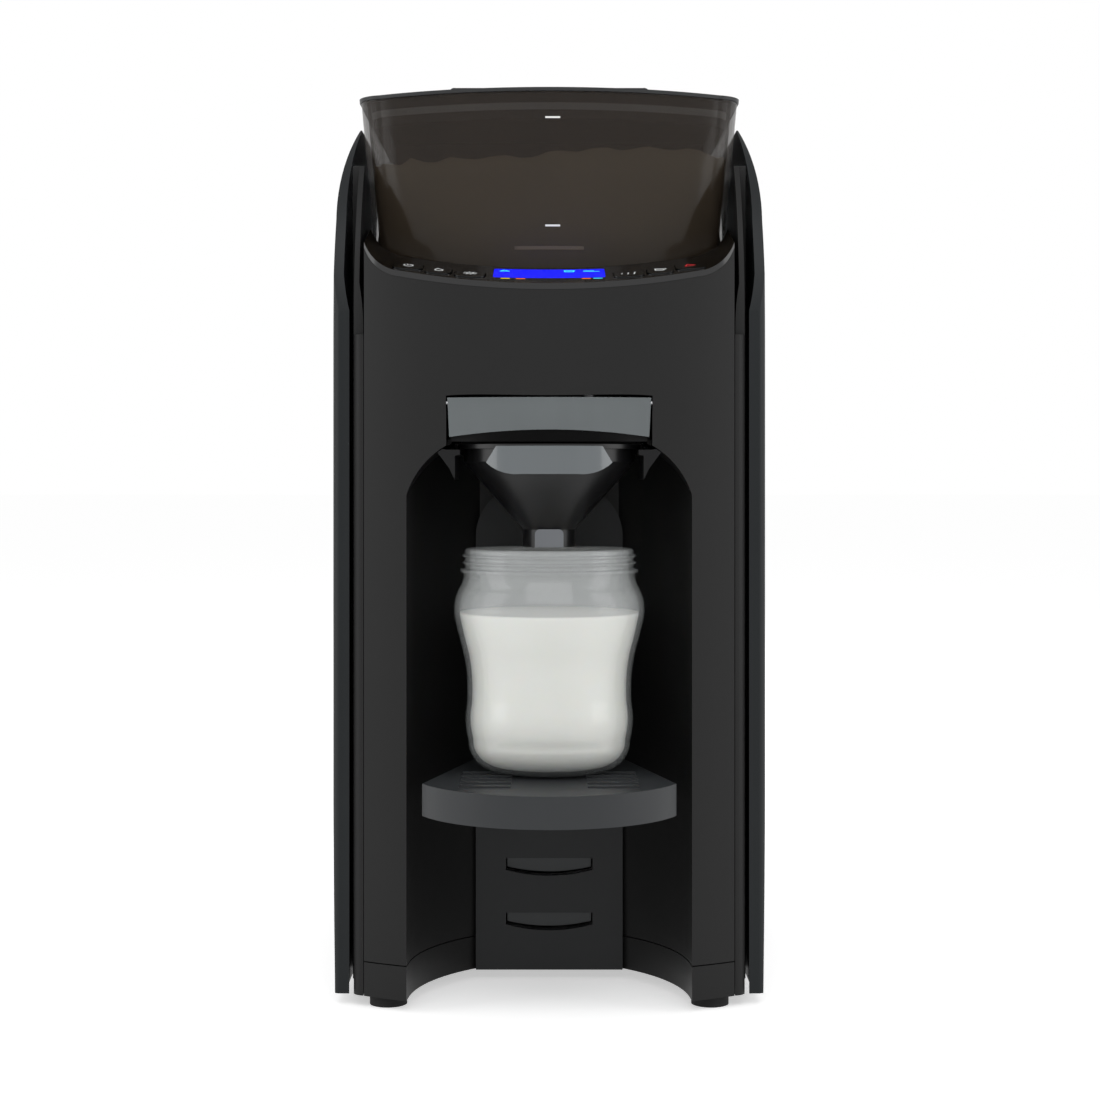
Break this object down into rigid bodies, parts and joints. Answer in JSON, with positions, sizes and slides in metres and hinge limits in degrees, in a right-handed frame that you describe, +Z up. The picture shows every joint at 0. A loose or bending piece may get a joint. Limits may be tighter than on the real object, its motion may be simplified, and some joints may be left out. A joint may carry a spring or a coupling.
{
  "type": "baby formula maker",
  "caption": "Counter-top baby formula maker: powder hopper over a bowed front with controls, funnel and bottle stand, and a water tank behind.",
  "frame": {"origin": "middle of the footprint box on the table", "axes": "+Z up, the front with the bottle faces -Y, +X to the right seen from the front"},
  "size_m": [0.185, 0.33, 0.3925],
  "materials": {
    "casing_black": "moulded",
    "front_black": "moulded",
    "gloss_black": "moulded",
    "inner_black": "moulded",
    "lid_black": "moulded",
    "smoke_clear": "plain",
    "clear_grey": "plain",
    "light_grey": "moulded",
    "dark_grey": "moulded",
    "display_blue": "moulded",
    "button_black": "moulded",
    "bottle_clear": "plain",
    "rubber_black": "plain",
    "steel": "plain",
    "white_acetal": "moulded",
    "board_green": "moulded",
    "silicone": "plain",
    "tank_clear": "plain",
    "pad_grey": "moulded"
  },
  "bodies": {
    "housing": {"left_side_shell": "casing_black", "right_side_shell": "casing_black", "rear_cover": "casing_black", "front_shell": "front_black", "base_pan": "front_black", "rubber_feet": "rubber_black", "right_trim_strip": "front_black", "left_trim_strip": "front_black", "slot_column": "dark_grey", "slot_blanks": "pad_grey", "display_glass": "display_blue", "control_panel": "gloss_black", "control_board": "board_green", "powder_chute": "inner_black", "chute_hood": "inner_black", "water_nozzle": "steel", "funnel_rails": "inner_black", "gear_motor": "steel", "motor_bracket": "inner_black", "hopper_deck": "inner_black", "inner_frames": "inner_black", "tower_back_wall": "casing_black", "tank_tray": "casing_black", "water_pump": "inner_black", "water_heater": "steel", "tank_hose": "silicone", "pump_hose": "silicone", "nozzle_hose": "silicone", "power_board": "board_green", "switch_housing": "inner_black", "cord_gland": "rubber_black", "casing_screws": "steel", "cover_hinge_pin": "steel"},
    "button_power": {"button_power": "button_black"},
    "button_water": {"button_water": "button_black"},
    "button_light": {"button_light": "button_black"},
    "button_volume": {"button_volume": "button_black"},
    "button_powder": {"button_powder": "button_black"},
    "button_start": {"button_start": "button_black"},
    "hopper": {"powder_hopper": "smoke_clear", "lid_hinge_pin": "steel"},
    "lid": {"hopper_lid": "lid_black", "lid_seal": "silicone"},
    "wheel": {"dosing_wheel": "white_acetal", "stirrer": "white_acetal"},
    "drive": {"drive_gear": "white_acetal", "drive_coupling": "steel"},
    "pinion": {"motor_pinion": "steel"},
    "cover": {"funnel_cover": "clear_grey"},
    "funnel": {"funnel": "dark_grey", "funnel_spout": "light_grey", "funnel_grip": "light_grey"},
    "stand": {"bottle_stand": "dark_grey"},
    "bottle": {"bottle": "bottle_clear"},
    "tank": {"water_tank": "tank_clear", "valve_seal": "silicone", "valve_spring": "steel"},
    "tank_lid": {"tank_lid": "lid_black"},
    "valve": {"tank_valve": "white_acetal"},
    "rocker": {"power_switch": "gloss_black"}
  },
  "joints": [
    {"name": "button_power_press", "type": "slide", "parent": "housing", "child": "button_power", "axis": [0, 0.282, -0.9594], "range_m": [0, 0.0006], "stiffness_N_per_m": 200, "springref_m": -0.0008},
    {"name": "button_water_press", "type": "slide", "parent": "housing", "child": "button_water", "axis": [0, 0.282, -0.9594], "range_m": [0, 0.0006], "stiffness_N_per_m": 200, "springref_m": -0.0008},
    {"name": "button_light_press", "type": "slide", "parent": "housing", "child": "button_light", "axis": [0, 0.282, -0.9594], "range_m": [0, 0.0006], "stiffness_N_per_m": 200, "springref_m": -0.0008},
    {"name": "button_volume_press", "type": "slide", "parent": "housing", "child": "button_volume", "axis": [0, 0.282, -0.9594], "range_m": [0, 0.0006], "stiffness_N_per_m": 200, "springref_m": -0.0008},
    {"name": "button_powder_press", "type": "slide", "parent": "housing", "child": "button_powder", "axis": [0, 0.282, -0.9594], "range_m": [0, 0.0006], "stiffness_N_per_m": 200, "springref_m": -0.0008},
    {"name": "button_start_press", "type": "slide", "parent": "housing", "child": "button_start", "axis": [0, 0.282, -0.9594], "range_m": [0, 0.0006], "stiffness_N_per_m": 200, "springref_m": -0.0008},
    {"name": "hopper_lift", "type": "slide", "parent": "housing", "child": "hopper", "axis": [0, 0, 1], "range_m": [0, 0.1]},
    {"name": "lid_hinge", "type": "hinge", "parent": "hopper", "child": "lid", "pos_m": [0, 0.056, 0.3848], "axis": [-1, 0, 0], "range_deg": [0, 88]},
    {"name": "drive_spin", "type": "hinge", "parent": "housing", "child": "drive", "pos_m": [0, -0.024, 0.29], "axis": [0, 0, 1], "continuous": true},
    {"name": "wheel_spin", "type": "hinge", "parent": "hopper", "child": "wheel", "pos_m": [0, -0.024, 0.317], "axis": [0, 0, 1], "continuous": true},
    {"name": "pinion_spin", "type": "hinge", "parent": "housing", "child": "pinion", "pos_m": [0, 0.0245, 0.288], "axis": [0, 0, 1], "continuous": true},
    {"name": "cover_hinge", "type": "hinge", "parent": "housing", "child": "cover", "pos_m": [0, -0.1135, 0.2555], "axis": [-1, 0, 0], "range_deg": [0, 36]},
    {"name": "funnel_slide", "type": "slide", "parent": "housing", "child": "funnel", "axis": [0, -1, 0], "range_m": [0, 0.11]},
    {"name": "stand_pull", "type": "slide", "parent": "housing", "child": "stand", "axis": [0, -1, 0], "range_m": [0, 0.06]},
    {"name": "bottle_slide", "type": "slide", "parent": "stand", "child": "bottle", "axis": [0, -1, 0], "range_m": [0, 0.14]},
    {"name": "tank_lift", "type": "slide", "parent": "housing", "child": "tank", "axis": [0, 0, 1], "range_m": [0, 0.3]},
    {"name": "tank_lid_hinge", "type": "hinge", "parent": "tank", "child": "tank_lid", "pos_m": [0, 0.075, 0.375], "axis": [1, 0, 0], "range_deg": [0, 85]},
    {"name": "valve_lift", "type": "slide", "parent": "tank", "child": "valve", "axis": [0, 0, 1], "range_m": [0, 0.003], "stiffness_N_per_m": 300, "springref_m": -0.002, "deforming": ["valve_spring"]},
    {"name": "switch_rock", "type": "hinge", "parent": "housing", "child": "rocker", "pos_m": [0.049, 0.159, 0.03], "axis": [0, 0, -1], "range_deg": [0, 12]}
  ],
  "couplings": [
    {"joint": "wheel_spin", "follows": "drive_spin", "ratio": 1},
    {"joint": "pinion_spin", "follows": "drive_spin", "ratio": -3}
  ]
}
